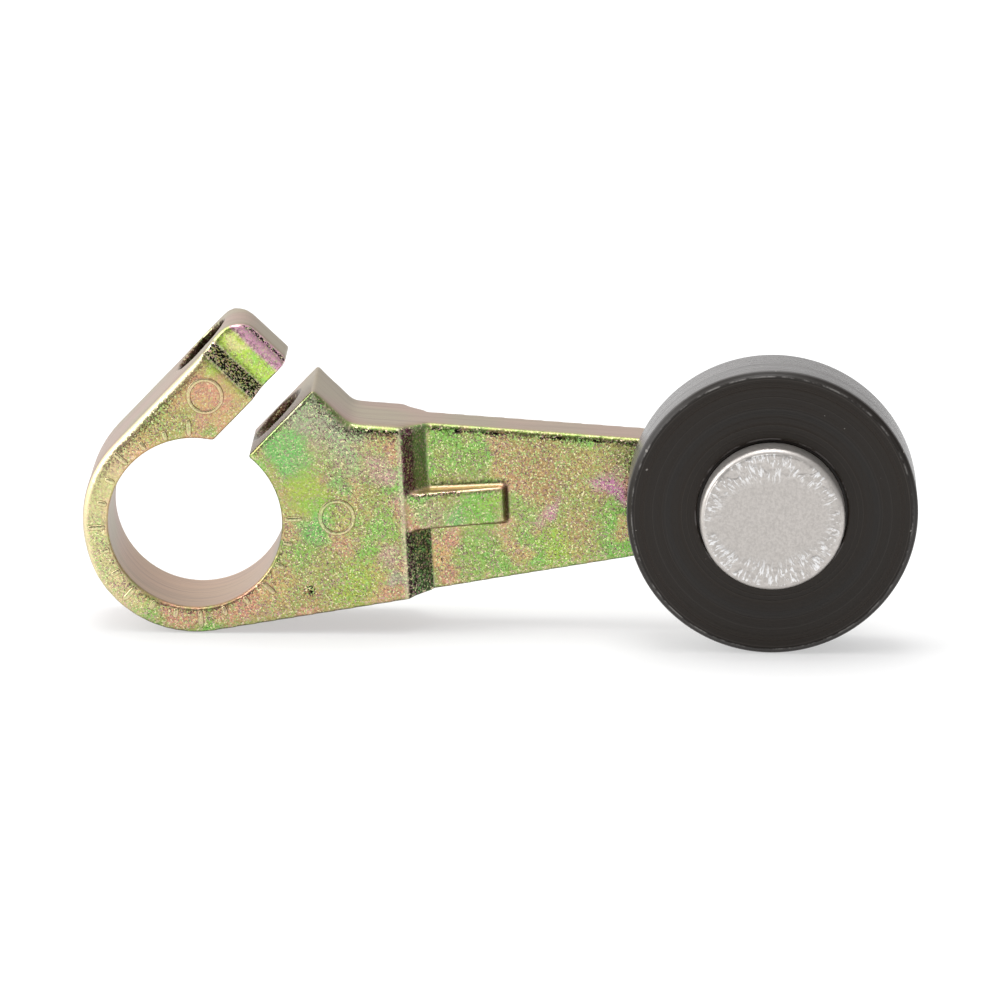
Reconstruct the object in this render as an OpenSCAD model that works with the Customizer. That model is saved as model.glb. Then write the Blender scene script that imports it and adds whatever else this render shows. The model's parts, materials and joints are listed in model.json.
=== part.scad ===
// Roller lever of a rotary limit switch: a cast lever with a split clamp hub, a free-turning
// roller and the shouldered rivet pin that holds it.
// Millimetres. The shaft bore runs along Y through the origin, the arm runs along +X,
// and the roller stands on the -Y side of the arm.

/* [Lever arm] */
// Distance from the shaft bore to the roller pin
arm_length = 38.1; // [32:0.1:60]
// Outside diameter of the hub ring
hub_d = 15; // [14.4:0.1:18.2]
// Width of the hub along the shaft
hub_width = 7.2; // [6:0.1:10]
// Half height that the tapering arm comes down to at the roller pin
tip_r = 2.9; // [2.3:0.1:4]
// Distance from the bore axis to where the full-width hub ends
root_length = 13.85; // [12.5:0.05:17]
// Length of the slope from the hub face down to the arm face
root_slope = 1.65; // [1:0.05:3]
// Thickness of the arm
web_thickness = 3.4; // [2.6:0.1:4.4]

/* [Shaft clamp] */
// Diameter of the shaft bore
bore_d = 11.5; // [9.5:0.1:11.9]
// Chamfer at both ends of the shaft bore
bore_chamfer = 0.15; // [0.1:0.05:0.5]
// Angle of the clamp slot above the arm
slot_angle = 43.5; // [35:0.5:55]
// Width of the clamp slot
slot_width = 2.4; // [1.6:0.1:2.9]
// Height of the jaw face above the line through the bore axis
jaw_face = 0.57; // [0.4:0.01:0.8]
// Length of the ear and of the jaw from the bore axis
clamp_length = 12; // [11:0.1:14.4]
// Depth of the step in the front of the ear
ear_step = 1.2; // [0.4:0.1:1.6]
// Length of the sloping riser of that step
ear_step_run = 0.85; // [0.5:0.05:1.2]
// Rounding of the front corner of the ear's end, looking along the screw
ear_end_r = 1; // [0.8:0.1:1.4]
// Rounding of the back corner of the ear's end, looking along the screw
ear_back_r = 2.5; // [0.8:0.1:3.4]
// Rounding of the ear's outer corner, looking along the shaft
ear_corner_r = 1.6; // [0.6:0.1:1.7]

/* [Clamp screw holes] */
// Distance from the bore axis to the screw axis
screw_reach = 8.2; // [8:0.1:9]
// Distance of the screw axis behind the middle of the hub
screw_offset = 0.8; // [0:0.1:1]
// Diameter of the clearance hole in the ear
screw_clear_d = 4.3; // [3.4:0.1:4.6]
// Diameter of the tapped hole in the jaw, as drilled
thread_d = 3.6; // [2.8:0.1:3.8]
// Diameter of the countersunk mouth of the tapped hole
thread_mouth_d = 4.4; // [3.9:0.1:4.4]
// Depth of the tapped hole
thread_depth = 6.5; // [5:0.1:7.5]

/* [Stiffening rib] */
// Length of the rib beyond the hub
rib_length = 6.8; // [4:0.1:9]
// Height of the rib, across the arm
rib_height = 2.5; // [1.6:0.1:3.5]
// Step from the hub face down to the start of the rib
rib_drop = 0.25; // [0:0.05:0.6]
// How far the rib still stands out of the arm at its far end
rib_end_rise = 0.6; // [0.3:0.05:1]

/* [Cast marks] */
// How far the index marks stand out of the hub face
mark_rise = 0.1; // [0.05:0.01:0.2]
// Width of an index mark
mark_width = 0.28; // [0.15:0.01:0.4]
// Angle between index marks
mark_step = 15; // [15, 22.5, 45]
// Length of an ordinary index mark
mark_length = 0.65; // [0.3:0.05:1]
// Length of the index marks at every 45 degrees
long_mark_length = 1.35; // [0.6:0.05:1.4]
// Radius of the round ejector marks
ejector_r = 1.1; // [0.6:0.05:1.3]

/* [Roller] */
// Diameter of the roller
roller_d = 19.05; // [15.8:0.05:24]
// Width of the roller
roller_width = 5.1; // [4:0.1:8]
// Chamfer on the roller's rims
roller_chamfer = 0.35; // [0.1:0.05:0.8]
// Depth of the recess that the pin head sits in
recess_depth = 0.3; // [0.1:0.05:0.6]

/* [Roller pin] */
// Diameter of the flat head
head_d = 9.5; // [8:0.1:12]
// Height of the head above the roller's face
head_proud = 1.8; // [0.8:0.1:2.5]
// Rounding of the head's rim
head_r = 0.45; // [0.2:0.05:0.7]
// Diameter of the shoulder that the roller turns on
shoulder_d = 6; // [5:0.1:7.2]
// Diameter of the tenon riveted through the arm
tenon_d = 4; // [3:0.1:4.6]
// Diameter of the riveted tail behind the arm
tail_d = 6; // [5.4:0.1:7.4]
// Height of the riveted tail
tail_height = 0.8; // [0.5:0.1:1.6]
// Diameter of the round eye at the end of the arm
eye_d = 9.2; // [8:0.1:11]
// Height of the thrust face that keeps the roller off the arm
thrust_height = 0.5; // [0.3:0.05:1.2]

/* [Fits] */
// Radial clearance of the roller on its shoulder
running_clearance = 0.05; // [0.02:0.01:0.09]
// Gap at each side face of the roller
side_gap = 0.1; // [0.05:0.01:0.3]
// Radial gap between the pin head and the recess in the roller
head_gap = 0.2; // [0.1:0.05:0.5]

/* [Hidden] */
$fn = 96;

hub_r = hub_d / 2;
bore_r = bore_d / 2;
hub_face = hub_width / 2;
web_face = web_thickness / 2;
ear_face = jaw_face + slot_width;
ear_gap_corner_r = 0.35;

// Taper of the arm: both edges are tangent to the hub ring and to a circle of tip_r at the pin.
taper = asin((hub_r - tip_r) / arm_length);
arm_edge_at_axis = hub_r / cos(taper);

// Depth below the jaw's end corner at which the jaw's end face meets the top edge of the arm.
jaw_drop = (clamp_length * (sin(slot_angle) + tan(taper) * cos(slot_angle)) - arm_edge_at_axis)
         / (cos(slot_angle) - tan(taper) * sin(slot_angle));
jaw_overlap = 1;

// The step starts just past the screw's axis.
ear_step_start = screw_reach + 0.6;

// Places along Y, counted from the arm's face towards the front.
thrust_face = -web_face - thrust_height;
roller_back = thrust_face - side_gap;
roller_front = roller_back - roller_width;
head_under = roller_front + recess_depth - side_gap;
head_top = roller_front - head_proud;

module across(width) {
    // A side outline, drawn in X and Z, carried across the width along Y.
    rotate([90, 0, 0]) linear_extrude(height = width, center = true) children();
}

module along_slot() {
    // Local X runs out along the clamp slot, local Z runs from the jaw to the ear.
    rotate([0, -slot_angle, 0]) children();
}

module turned(front, back, radius) {
    // A plain cylinder along Y between two places.
    translate([0, back, 0]) rotate([90, 0, 0]) cylinder(h = back - front, r = radius);
}

module arm_side() {
    // Side outline of the arm: two straight edges tangent to the hub and to the tip circle.
    circle(r = hub_r);
    translate([arm_length, 0]) circle(r = tip_r);
    polygon([
        [hub_r * sin(taper), hub_r * cos(taper)],
        [hub_r * sin(taper), -hub_r * cos(taper)],
        [arm_length + tip_r * sin(taper), -tip_r * cos(taper)],
        [arm_length + tip_r * sin(taper), tip_r * cos(taper)]
    ]);
}

module arm_plan() {
    // Outline from above: full width at the hub, then sloping down to the thin arm.
    slope_end = root_length + root_slope;
    arm_end = arm_length + tip_r + 1;
    polygon([
        [-hub_r - 1, -hub_face],
        [root_length, -hub_face],
        [slope_end, -web_face],
        [arm_end, -web_face],
        [arm_end, web_face],
        [slope_end, web_face],
        [root_length, hub_face],
        [-hub_r - 1, hub_face]
    ]);
}

module arm_body() {
    intersection() {
        across(hub_width) arm_side();
        translate([0, 0, -hub_d]) linear_extrude(height = 2 * hub_d) arm_plan();
    }
}

module jaw() {
    across(hub_width) rotate(slot_angle)
        translate([0, -jaw_drop - jaw_overlap])
            square([clamp_length, jaw_drop + jaw_overlap + jaw_face]);
}

module ear_side() {
    // Side outline of the ear, with its outer and gap-side end corners rounded.
    gap_r = ear_gap_corner_r;
    out_r = ear_corner_r;
    translate([0, ear_face + gap_r]) square([clamp_length, hub_r - ear_face - gap_r - out_r]);
    translate([0, ear_face]) square([clamp_length - gap_r, gap_r]);
    translate([clamp_length - gap_r, ear_face + gap_r]) circle(r = gap_r);
    translate([0, hub_r - out_r]) square([clamp_length - out_r, out_r]);
    translate([clamp_length - out_r, hub_r - out_r]) circle(r = out_r);
}

module ear_plan() {
    // Outline of the ear looking along the screw: a step in the front, then a rounded end.
    front = -hub_face + ear_step;
    front_flat = clamp_length - ear_end_r;
    back_flat = clamp_length - ear_back_r;
    polygon([
        [0, -hub_face],
        [ear_step_start, -hub_face],
        [ear_step_start + ear_step_run, front],
        [front_flat, front],
        [front_flat, front + ear_end_r],
        [clamp_length, front + ear_end_r],
        [clamp_length, hub_face - ear_back_r],
        [back_flat, hub_face - ear_back_r],
        [back_flat, hub_face],
        [0, hub_face]
    ]);
    translate([front_flat, front + ear_end_r]) circle(r = ear_end_r);
    translate([back_flat, hub_face - ear_back_r]) intersection() {
        circle(r = ear_back_r);
        square(ear_back_r);
    }
}

module ear() {
    intersection() {
        across(hub_width) rotate(slot_angle) ear_side();
        along_slot() linear_extrude(height = hub_d) ear_plan();
    }
}

module rib() {
    // Stiffening rib: starts just under the hub face and thins towards the roller.
    start = root_length - 1;
    end = root_length + rib_length;
    crest = hub_face - rib_drop;
    end_crest = web_face + rib_end_rise;
    translate([0, 0, -rib_height / 2]) linear_extrude(height = rib_height)
        polygon([
            [start, 0],
            [start, crest],
            [root_length + 0.5, crest],
            [end - rib_end_rise / 2, end_crest],
            [end, web_face],
            [end, 0]
        ]);
}

module eye() {
    translate([arm_length, 0, 0]) turned(thrust_face, web_face, eye_d / 2);
}

module index_marks() {
    // Raised index marks on the hub face, from the ear round the ring to the arm. Each starts
    // inside the bore, and the bore's chamfer trims it.
    foot = 0.1;
    start = bore_r - bore_chamfer;
    for (angle = [90 : mark_step : 360])
        rotate([0, -angle, 0])
            translate([start, -hub_face - mark_rise, -mark_width / 2])
                cube([
                    2 * bore_chamfer + (angle % 45 == 0 ? long_mark_length : mark_length),
                    mark_rise + foot,
                    mark_width
                ]);
}

module ejector_mark(x, z) {
    // A raised ring with a flat middle, as an ejector pin leaves.
    translate([x, 0, z])
        difference() {
            turned(-hub_face - mark_rise / 2, -hub_face + 0.2, ejector_r);
            turned(-hub_face - 1, -hub_face, ejector_r - mark_width / 2);
        }
}

module ejector_marks() {
    ear_middle = (ear_face + hub_r) / 2;
    ear_reach = screw_reach - 1.4;
    ejector_mark(
        ear_reach * cos(slot_angle) - (ear_middle + 0.2) * sin(slot_angle),
        ear_reach * sin(slot_angle) + (ear_middle + 0.2) * cos(slot_angle)
    );
    ejector_mark((bore_r + root_length) / 2 - 0.4, 0);
}

module shaft_bore() {
    turned(-hub_width, hub_width, bore_r);
    for (side = [-1, 1])
        rotate([90 * side, 0, 0]) translate([0, 0, hub_face - bore_chamfer])
            cylinder(h = 2 * bore_chamfer, r1 = bore_r, r2 = bore_r + 2 * bore_chamfer);
}

module clamp_slot() {
    across(2 * hub_width) rotate(slot_angle)
        translate([0, jaw_face]) square([clamp_length + 2, slot_width]);
}

module screw_holes() {
    mouth = (thread_mouth_d - thread_d) / 2;
    along_slot() translate([screw_reach, screw_offset, 0]) {
        translate([0, 0, ear_face - 1]) cylinder(h = hub_r, d = screw_clear_d);
        translate([0, 0, jaw_face - thread_depth]) cylinder(h = thread_depth + 0.5, d = thread_d);
        translate([0, 0, jaw_face - mouth])
            cylinder(h = 2 * mouth, d1 = thread_d, d2 = thread_mouth_d + 2 * mouth);
    }
}

module pin_hole() {
    translate([arm_length, 0, 0]) turned(-hub_width, hub_width, tenon_d / 2);
}

module lever() {
    color("darkkhaki")
        difference() {
            union() {
                arm_body();
                jaw();
                ear();
                eye();
                for (side = [0, 1]) mirror([0, side, 0]) rib();
                index_marks();
                ejector_marks();
            }
            shaft_bore();
            clamp_slot();
            screw_holes();
            pin_hole();
        }
}

module spun(points) {
    // A profile of [radius, place along Y] pairs, turned about the pin's axis.
    translate([arm_length, 0, 0]) rotate([-90, 0, 0]) rotate_extrude() polygon(points);
}

module roller() {
    c = roller_chamfer;
    r = roller_d / 2;
    hole_r = shoulder_d / 2 + running_clearance;
    recess_r = head_d / 2 + head_gap;
    color("dimgray")
        spun([
            [hole_r, roller_back],
            [r - c, roller_back],
            [r, roller_back - c],
            [r, roller_front + c],
            [r - c, roller_front],
            [recess_r, roller_front],
            [recess_r, roller_front + recess_depth],
            [hole_r, roller_front + recess_depth]
        ]);
}

module roller_pin() {
    // Flat head, shoulder for the roller, tenon through the arm and a riveted tail behind it.
    tail_end = web_face + tail_height;
    rim = [for (a = [0 : 15 : 90]) [
        head_d / 2 - head_r + head_r * cos(a),
        head_top + head_r - head_r * sin(a)
    ]];
    color("silver")
        spun(concat(
            [[0, tail_end],
             [tail_d / 2 - tail_height / 2, tail_end],
             [tail_d / 2, web_face + tail_height / 3],
             [tail_d / 2, web_face],
             [tenon_d / 2, web_face],
             [tenon_d / 2, thrust_face],
             [shoulder_d / 2, thrust_face],
             [shoulder_d / 2, head_under],
             [head_d / 2, head_under]],
            rim,
            [[0, head_top]]
        ));
}

lever();
roller();
roller_pin();
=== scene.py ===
"""Roller lever of a rotary limit switch: the chromated casting, its roller and the rivet pin.

Lengths are in metres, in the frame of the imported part: the shaft bore runs along Y through the
origin, the arm runs along +X, and the roller stands on the -Y side.
"""

import json
import math

import bmesh
import bpy
import numpy as np
from mathutils import Matrix, Vector

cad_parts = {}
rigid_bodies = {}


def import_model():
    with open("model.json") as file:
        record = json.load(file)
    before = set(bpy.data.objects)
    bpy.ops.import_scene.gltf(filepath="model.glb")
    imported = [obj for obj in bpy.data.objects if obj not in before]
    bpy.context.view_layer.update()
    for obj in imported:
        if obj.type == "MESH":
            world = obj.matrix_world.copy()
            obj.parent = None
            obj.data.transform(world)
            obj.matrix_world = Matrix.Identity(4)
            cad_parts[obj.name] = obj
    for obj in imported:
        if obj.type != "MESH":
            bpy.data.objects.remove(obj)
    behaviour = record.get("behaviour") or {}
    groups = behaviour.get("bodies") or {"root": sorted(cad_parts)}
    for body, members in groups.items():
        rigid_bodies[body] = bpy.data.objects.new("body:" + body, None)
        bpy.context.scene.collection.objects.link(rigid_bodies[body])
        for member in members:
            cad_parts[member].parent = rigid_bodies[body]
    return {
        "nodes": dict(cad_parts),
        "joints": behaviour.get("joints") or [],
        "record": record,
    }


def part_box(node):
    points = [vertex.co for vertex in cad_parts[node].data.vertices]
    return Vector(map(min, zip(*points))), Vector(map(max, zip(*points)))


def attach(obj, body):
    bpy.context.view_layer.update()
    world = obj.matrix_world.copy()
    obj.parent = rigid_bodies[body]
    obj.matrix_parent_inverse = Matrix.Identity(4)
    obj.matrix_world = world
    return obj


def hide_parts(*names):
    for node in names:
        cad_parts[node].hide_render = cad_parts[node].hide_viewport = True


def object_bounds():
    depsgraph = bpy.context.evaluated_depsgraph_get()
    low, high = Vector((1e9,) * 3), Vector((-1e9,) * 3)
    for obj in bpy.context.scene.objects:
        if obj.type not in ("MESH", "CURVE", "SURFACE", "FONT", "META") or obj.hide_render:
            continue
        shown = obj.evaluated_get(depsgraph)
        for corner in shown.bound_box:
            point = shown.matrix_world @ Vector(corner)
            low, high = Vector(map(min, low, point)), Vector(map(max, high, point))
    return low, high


bl_info = {
    "name": "Limit switch roller lever",
    "version": (1, 0, 0),
    "blender": (4, 5, 0),
    "location": "3D View > Sidebar > Lever",
    "description": "Builds a cast clamp lever with its roller and rivet pin",
    "category": "Add Mesh",
}

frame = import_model()
CAD_BOX = [list(corner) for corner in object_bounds()]
MM = 0.001
TURN = 2.0 * math.pi


def mount(name):
    """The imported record's mount of that name."""
    return next(m for m in frame["record"]["mounts"] if m["name"] == name)


LEVER_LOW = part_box("lever")[0]
ROLLER_LOW, ROLLER_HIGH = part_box("roller")
PIN_LOW, PIN_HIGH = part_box("roller_pin")
ARM = frame["joints"][0]["pos_m"][0]
BORE_R = mount("shaft_clamp")["dims"]["r_mm"] * MM
HUB_R = -LEVER_LOW.x
HUB_FACE = mount("hub_back")["pos_m"][1]
ROLLER_R = (ROLLER_HIGH.z - ROLLER_LOW.z) / 2
PIN_R = (PIN_HIGH.x - PIN_LOW.x) / 2
# The clamp screw's axis stands square to the clamp slot.
SCREW = mount("screw_clearance")
SCREW_AXIS = Vector(SCREW["axis"])
SCREW_PLACE = Vector(SCREW["pos_m"])
SCREW_R = SCREW["dims"]["r_mm"] * MM
SCREW_OFFSET = SCREW_PLACE.y
SLOT_ANGLE = math.atan2(-SCREW_AXIS.x, SCREW_AXIS.z)
SCREW_REACH = SCREW_PLACE.x * math.cos(SLOT_ANGLE) + SCREW_PLACE.z * math.sin(SLOT_ANGLE)
# The slot's two faces, across the slot from the line through the shaft axis along it; how far the
# ear and the jaw reach out along that line; and how far below it the jaw's back wall lies.
SLOT_WIDTH = 2.4 * MM
JAW_FACE = 0.57 * MM
EAR_FACE = JAW_FACE + SLOT_WIDTH
CLAMP_LENGTH = 12.0 * MM
JAW_DROP = 2.75 * MM
# Angle between the arm's axis and its tapering edges, tangent to the hub and to the arm's tip.
TIP_R = 2.9 * MM
TAPER = math.asin((HUB_R - TIP_R) / ARM)
# Middles of the round ejector marks on the front, as x and z in millimetres.
EJECTOR_RINGS = ((1.2, 8.6), (9.4, 0.0))
# Middle of the casting pit in the hub face, as x and z in millimetres; it is drawn out along x.
PIT_X, PIT_Z, PIT_STRETCH = 7.3, -4.9, 1.5
# Gap from the bore's edge to the inner ends of the index marks, and the angle between marks.
MARK_CLEAR = 0.16 * MM
MARK_STEP, LONG_MARK_STEP = 15, 45
# Points round a turned piece.
SEGMENTS = 256
# Bands of the film in millimetres: where each begins, is full, starts to fade and ends. The step
# of the ear, with its painted dark reflection and glints, lies along the slot, the ridge's painted
# highlight and the slope at the arm's root along x, and the dark line of painted reflection on the
# rib's top edge along z.
STEP_BAND = (8.65, 8.85, 9.6, 9.85)
RIDGE_HIGHLIGHT_BAND = (13.55, 13.70, 13.86, 13.98)
SLOPE_BAND = (13.80, 13.95, 15.45, 15.65)
RIB_REFLECTION_LINE_BAND = (1.00, 1.08, 1.20, 1.26)
# The lever stands on the hub and on the larger roller, so the ground slopes under the arm.
STAND_TILT = math.asin((ROLLER_R - HUB_R) / ARM)

# Colours of single specks and lines in the chromate film; the black speck lays painted shade and
# painted dark reflections.
YELLOW_SPECK = (0.98, 0.94, 0.52)
BLUSH_SPECK = (0.82, 0.50, 0.50)
LEAF_SPECK = (0.30, 0.66, 0.20)
PORE = (0.05, 0.04, 0.02)
SHADE_SPECK = (0.010, 0.008, 0.005)
WALL_STREAK = (0.21, 0.155, 0.12)
# Colours that the film has in one place only. Painted light among them: the highlight on the
# ring's left side, the step's glints, and the shade on the rib, in the screw holes and at the
# feet of the marks, with the highlight on the marks' crests.
TOP_EDGE = (0.20, 0.26, 0.07)
RING_LEFT_HIGHLIGHT = (1.0, 0.80, 0.48)
EAR_LIME = (0.72, 0.98, 0.16)
EAR_GREEN = (0.30, 0.78, 0.14)
EAR_CREAM = (1.0, 0.84, 0.42)
EAR_MAGENTA = (1.0, 0.50, 0.72)
STEP_GLINT = (0.90, 0.84, 0.50)
SLOPE_GREEN = (0.31, 0.46, 0.17)
RIB_ROSE = (0.94, 0.62, 0.44)
RIB_SHADE = (0.13, 0.035, 0.03)
BORE_ROSE = (0.44, 0.285, 0.190)
BORE_OLIVE = (0.20, 0.175, 0.100)
HOLE_SHADE = (0.050, 0.020, 0.008)
MARK_HIGHLIGHT = (0.92, 0.84, 0.46)
MARK_FOOT_SHADE = (0.16, 0.045, 0.03)
# Colours in the roller's plastic and on the pin. The turning rings' lighter colour is painted
# sheen, and the colours for the chamfer's and the recess's edges are painted glints.
DULL_PLASTIC = (0.018, 0.015, 0.013)
TURNED_RING_SHEEN = (0.062, 0.052, 0.044)
RIM_GLINT = (0.20, 0.19, 0.18)
RECESS_GLINT = (0.16, 0.15, 0.15)
DUST = (0.30, 0.28, 0.26)
SCUFF = (0.97, 0.97, 0.98)


# ---------------------------------------------------------------- settings


def size(name, text, value, low=0.0, high=1.0):
    """A length property in metres."""
    return bpy.props.FloatProperty(
        name=name, description=text, default=value, min=low, max=high,
        subtype="DISTANCE", unit="LENGTH", precision=5,
    )


def share(name, text, value, low=0.0, high=1.0):
    """A plain number property."""
    return bpy.props.FloatProperty(name=name, description=text, default=value, min=low, max=high)


def tint(name, text, value):
    """A colour property."""
    return bpy.props.FloatVectorProperty(
        name=name, description=text, default=value, min=0.0, max=1.0, size=3, subtype="COLOR",
    )


class CastingSettings(bpy.types.PropertyGroup):
    """Sizes and colours of the casting."""

    grain: size("Grain", "Spacing of the points that the casting's skin is made of", 0.158 * MM)
    wear: bpy.props.IntProperty(
        name="Wear", description="Passes that wear the sharp edges round", default=45, min=0, max=90,
    )
    pit_depth: size("Pit depth", "Depth of the casting pit in the hub face", 0.09 * MM)
    facet: share("Facet tilt", "How far a grain of the cast skin leans", 0.34, 0, 2)
    lime: tint("Lime", "Chromate film colour", (0.47, 0.66, 0.10))
    green: tint("Green", "Chromate film colour", (0.30, 0.60, 0.12))
    teal: tint("Teal", "Chromate film colour", (0.25, 0.62, 0.18))
    olive: tint("Olive", "Chromate film colour", (0.50, 0.50, 0.17))
    gold: tint("Gold", "Chromate film colour", (0.66, 0.50, 0.20))
    brown: tint("Brown", "Chromate film colour", (0.58, 0.40, 0.18))
    orange: tint("Orange", "Chromate film colour", (0.82, 0.50, 0.24))
    rose: tint("Rose", "Chromate film colour", (0.84, 0.40, 0.28))
    pink: tint("Pink", "Chromate film colour", (0.72, 0.44, 0.40))
    magenta: tint("Magenta", "Chromate film colour", (0.80, 0.30, 0.60))
    grey: tint("Grey", "Chromate film colour", (0.50, 0.53, 0.38))
    wall: tint("Wall", "Colour of the smooth side walls", (0.315, 0.262, 0.180))
    rosy: tint("Rosy", "Colour of the warmer zones of the walls", (0.350, 0.245, 0.190))
    # The bevel colour is a painted highlight on the rounded edges and on the root's ridge.
    bevel: tint("Bevel", "Colour of the rounded edges and of the root's ridge", (0.80, 0.78, 0.52))
    shade: tint("Shade", "Colour that darkens the rounded edge underneath", (0.13, 0.17, 0.06))
    maroon: tint("Maroon", "Colour at the top of the arm's root slope", (0.17, 0.05, 0.08))


class MarkSettings(bpy.types.PropertyGroup):
    """Sizes of the raised marks on the hub face."""

    rise: size("Rise", "How far a mark stands out of the hub", 0.12 * MM)
    width: size("Width", "Width of a mark at its foot", 0.38 * MM)
    length: size("Length", "Length of an ordinary index mark", 0.70 * MM)
    long: size("Long length", "Length of the marks at every 45 degrees", 1.22 * MM)
    ring: size("Ring radius", "Radius of the round ejector marks", 1.10 * MM)


class RollerSettings(bpy.types.PropertyGroup):
    """Sizes and colours of the roller."""

    groove: size("Groove depth", "Depth of the turning marks", 0.010 * MM)
    chamfer: size("Chamfer", "Chamfer on the rims", 0.35 * MM)
    recess: size("Recess", "Radius of the recess round the pin head", 4.95 * MM)
    recess_depth: size("Recess depth", "Depth of that recess", 0.30 * MM)
    bore: size("Bore", "Radius of the bore", 3.05 * MM)
    face: tint("Face", "Colour of the turned faces", (0.0150, 0.0092, 0.0050))
    # The rim colour is partly wear and partly painted sheen.
    rim: tint("Rim", "Colour of the worn running surface", (0.085, 0.080, 0.078))


class PinSettings(bpy.types.PropertyGroup):
    """Sizes and colours of the rivet pin."""

    rim: size("Rim", "Rounding of the head's rim", 0.45 * MM)
    dimple: size("Dimple", "Depth of the shallow dimple in the middle of the head", 0.012 * MM)
    steel: tint("Steel", "Colour of the plain steel", (0.61, 0.575, 0.545))


class StageSettings(bpy.types.PropertyGroup):
    """Camera, floor and lights."""

    azimuth: share(
        "Azimuth", "Degrees that the camera stands to the roller side of the front", 2.44, -180, 180,
    )
    elevation: share("Elevation", "Degrees that the camera looks down", 14.5, 0, 90)
    distance: size("Distance", "Distance from the camera to the middle of the lever", 0.5043, 0.1, 5)
    aim_height: size(
        "Aim height", "Height of the middle of the view over the shaft axis", -0.22 * MM, -1, 1,
    )
    lens: share("Lens", "Focal length in millimetres on a 36 mm wide sensor", 273.7, 20, 1000)
    floor: tint("Floor", "Colour of the floor", (0.45, 0.45, 0.45))
    floor_glow: share("Floor glow", "Light that the floor itself gives", 0.49, 0, 2)


# ---------------------------------------------------------------- mesh tools


def new_piece(name, points, faces, body, material):
    """A smooth-shaded mesh object of these points and faces, riding on a body."""
    mesh = bpy.data.meshes.new(name)
    mesh.from_pydata(points, [], faces)
    mesh.shade_smooth()
    piece = bpy.data.objects.new(name, mesh)
    bpy.context.scene.collection.objects.link(piece)
    mesh.materials.append(material)
    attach(piece, body)
    return piece


def grid_faces(rows, columns, closed_rows, closed_columns):
    """Quads of a grid of points: row i, column j is point i * columns + j."""
    i = np.arange(rows if closed_rows else rows - 1)
    j = np.arange(columns if closed_columns else columns - 1)
    i, j = np.meshgrid(i, j, indexing="ij")
    down, right = (i + 1) % rows, (j + 1) % columns
    here, below = i * columns, down * columns
    return np.stack([here + j, here + right, below + right, below + j], -1).reshape(-1, 4)


def clean(mesh, merge=1e-8):
    """Merges doubled points, so that poles close, and turns every face outwards."""
    work = bmesh.new()
    work.from_mesh(mesh)
    bmesh.ops.remove_doubles(work, verts=work.verts, dist=merge)
    bmesh.ops.dissolve_degenerate(work, edges=work.edges, dist=merge)
    bmesh.ops.recalc_face_normals(work, faces=work.faces)
    work.to_mesh(mesh)
    work.free()


def soft_noise(points, cell, seed):
    """Smooth noise between -1 and 1: random values on a cubic lattice, blended with smoothstep."""
    values = np.random.default_rng(seed).uniform(-1, 1, (32, 32, 32))
    scaled = points / cell
    base = np.floor(scaled).astype(int)
    part = scaled - base
    part = part * part * (3 - 2 * part)
    total = np.zeros(len(points))
    for corner in np.ndindex(2, 2, 2):
        corner = np.array(corner)
        weight = np.prod(np.where(corner, part, 1 - part), axis=1)
        total += weight * values[tuple(((base + corner) % 32).T)]
    return total


def densify(outline, step):
    """Points every step or less along a polyline."""
    outline = np.asarray(outline, float)
    runs = []
    for start, end in zip(outline[:-1], outline[1:]):
        count = max(1, math.ceil(np.linalg.norm(end - start) / step))
        runs.append(start + (end - start) * (np.arange(count) / count)[:, None])
    return np.vstack(runs + [outline[-1:]])


def rounded(outline, radii, steps=6):
    """An open outline of [radius, y] points with each inner corner replaced by an arc."""
    outline = [np.array(p, float) for p in outline]
    points = [outline[0]]
    for before, corner, after, radius in zip(outline, outline[1:], outline[2:], radii):
        if radius <= 0:
            points.append(corner)
            continue
        a = (before - corner) / np.linalg.norm(before - corner)
        b = (after - corner) / np.linalg.norm(after - corner)
        half = math.acos(np.clip(a @ b, -1, 1)) / 2
        middle = (a + b) / np.linalg.norm(a + b)
        centre = corner + middle * radius / math.sin(half)
        start = corner + a * radius / math.tan(half) - centre
        end = corner + b * radius / math.tan(half) - centre
        sweep = math.pi - 2 * half
        for t in np.linspace(0, 1, steps + 1):
            spoke = math.sin((1 - t) * sweep) * start + math.sin(t * sweep) * end
            points.append(centre + spoke / math.sin(sweep))
    points.append(outline[-1])
    return np.array(points)


def lathe(profile, segments, closed):
    """Turns a profile of [radius, y] rows about the pin's axis: x = a + r cos t, z = r sin t."""
    t = np.arange(segments) * TURN / segments
    r, y = profile[:, 0:1], profile[:, 1:2]
    points = np.stack([ARM + r * np.cos(t), y + 0 * t, r * np.sin(t)], -1).reshape(-1, 3)
    return points, grid_faces(len(profile), segments, closed, True)


# ---------------------------------------------------------------- node tools


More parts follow.
